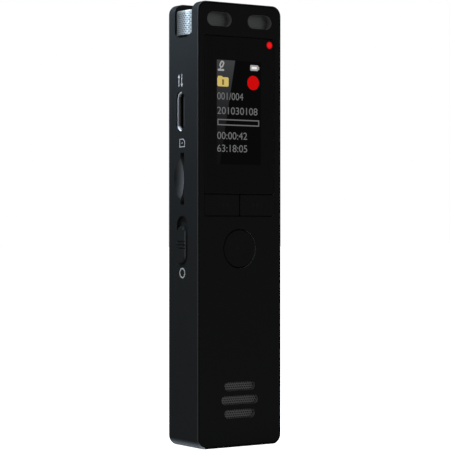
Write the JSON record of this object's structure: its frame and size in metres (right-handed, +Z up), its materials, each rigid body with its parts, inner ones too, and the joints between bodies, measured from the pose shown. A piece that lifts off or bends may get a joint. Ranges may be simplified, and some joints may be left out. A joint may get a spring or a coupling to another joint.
{
  "type": "portable field recorder",
  "caption": "Slim upright stick voice recorder with a metal case, black front, display window, mesh microphone cage across its top, record slider, keys, sound slots and side sockets.",
  "frame": {"origin": "middle of the lower end, where the recorder stands upright", "axes": "+Z up along the stick, front face towards -Y, back towards +Y; charging port, card slot and record slider on the -X side"},
  "size_m": [0.0238, 0.012, 0.1],
  "materials": {
    "case_metal": "fine satin anodised",
    "panel_black": "satin",
    "lens_black": "high gloss",
    "key_black": "satin",
    "frame_plastic": "moulded",
    "display_glass": "polished",
    "backlight_white": "moulded",
    "ribbon_amber": "film",
    "connector_plastic": "moulded",
    "board_green": "solder mask",
    "chip_black": "moulded",
    "steel_plated": "bright stamped",
    "contact_black": "moulded",
    "control_dark": "satin anodised",
    "cell_foil": "foil pouch",
    "foam_black": "closed foam",
    "wire_red": "insulation",
    "speaker_grey": "moulded",
    "cone_film": "thin film",
    "grille_steel": "dark perforated sheet",
    "cage_silver": "fine silver mesh",
    "capsule_metal": "drawn can",
    "boot_rubber": "moulded",
    "pin_gold": "plated",
    "led_body": "moulded",
    "light_red": "clear red, lit"
  },
  "bodies": {
    "recorder": {"case_shell": "case_metal", "front_panel": "panel_black", "display_lens": "lens_black", "mid_frame": "frame_plastic", "display_glass": "display_glass", "display_backlight": "backlight_white", "display_flex": "ribbon_amber", "display_connector": "connector_plastic", "main_board": "board_green", "main_chip": "chip_black", "memory_chip": "chip_black", "frame_screws": "steel_plated", "usb_shell": "steel_plated", "usb_tongue": "contact_black", "card_socket": "steel_plated", "switch_housing": "steel_plated", "back_switch": "steel_plated", "forward_switch": "steel_plated", "play_switch": "steel_plated", "menu_switch": "steel_plated", "volume_up_switch": "steel_plated", "volume_down_switch": "steel_plated", "headphone_jack": "contact_black", "battery_cell": "cell_foil", "battery_pad": "foam_black", "battery_board": "board_green", "battery_leads": "wire_red", "speaker_basket": "speaker_grey", "speaker_cone": "cone_film", "speaker_gasket": "foam_black", "speaker_mesh": "grille_steel", "mic_cage": "cage_silver", "mic_capsule_left": "capsule_metal", "mic_capsule_right": "capsule_metal", "mic_boot_left": "boot_rubber", "mic_boot_right": "boot_rubber", "mic_leads": "pin_gold", "led_chip": "led_body", "led_light_pipe": "light_red"},
    "record_slider": {"record_slider": "control_dark", "switch_lever": "contact_black"},
    "back_key": {"back_key": "key_black", "back_plunger": "contact_black"},
    "forward_key": {"forward_key": "key_black", "forward_plunger": "contact_black"},
    "play_key": {"play_key": "key_black", "play_plunger": "contact_black"},
    "menu_key": {"menu_key": "control_dark", "menu_plunger": "contact_black"},
    "volume_up_key": {"volume_up_key": "control_dark", "volume_up_plunger": "contact_black"},
    "volume_down_key": {"volume_down_key": "control_dark", "volume_down_plunger": "contact_black"}
  },
  "joints": [
    {"name": "record_slide", "type": "slide", "parent": "recorder", "child": "record_slider", "axis": [0, 0, 1], "range_m": [0, 0.0022]},
    {"name": "back_press", "type": "slide", "parent": "recorder", "child": "back_key", "axis": [0, 1, 0], "range_m": [0, 0.0003], "stiffness_N_per_m": 400},
    {"name": "forward_press", "type": "slide", "parent": "recorder", "child": "forward_key", "axis": [0, 1, 0], "range_m": [0, 0.0003], "stiffness_N_per_m": 400},
    {"name": "play_press", "type": "slide", "parent": "recorder", "child": "play_key", "axis": [0, 1, 0], "range_m": [0, 0.0003], "stiffness_N_per_m": 400},
    {"name": "menu_press", "type": "slide", "parent": "recorder", "child": "menu_key", "axis": [-1, 0, 0], "range_m": [0, 0.0003], "stiffness_N_per_m": 400},
    {"name": "volume_up_press", "type": "slide", "parent": "recorder", "child": "volume_up_key", "axis": [-1, 0, 0], "range_m": [0, 0.0003], "stiffness_N_per_m": 400},
    {"name": "volume_down_press", "type": "slide", "parent": "recorder", "child": "volume_down_key", "axis": [-1, 0, 0], "range_m": [0, 0.0003], "stiffness_N_per_m": 400}
  ]
}
